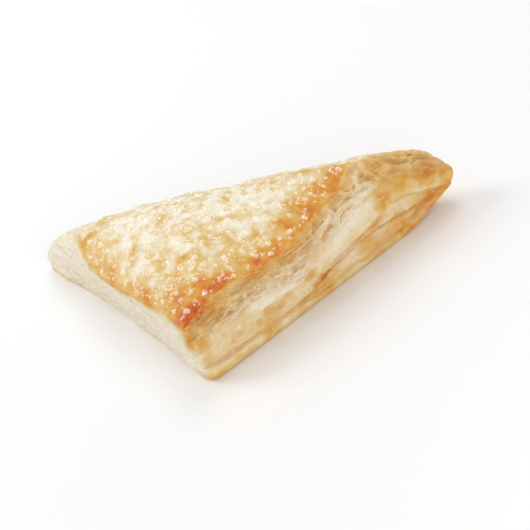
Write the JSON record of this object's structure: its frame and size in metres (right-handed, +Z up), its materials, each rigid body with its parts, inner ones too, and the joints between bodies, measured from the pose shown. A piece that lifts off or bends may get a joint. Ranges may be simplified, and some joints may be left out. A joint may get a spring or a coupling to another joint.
{
  "type": "apple turnover",
  "caption": "Triangular baked turnover: puff pastry folded over its filling, with a sugared browned top, open flaky layers on the cut sides and a smooth rolled fold at the back.",
  "frame": {"origin": "Centre of the bounding box on the flat underside that the turnover rests on.", "axes": "+X runs along the fold, from its low left end to its raised right end. -Y points to the front corner where the two cut sides meet. +Z is up."},
  "size_m": [0.1822, 0.0944, 0.0375],
  "materials": {
    "pastry": null
  },
  "bodies": {
    "root": {"turnover": "pastry"}
  },
  "joints": []
}
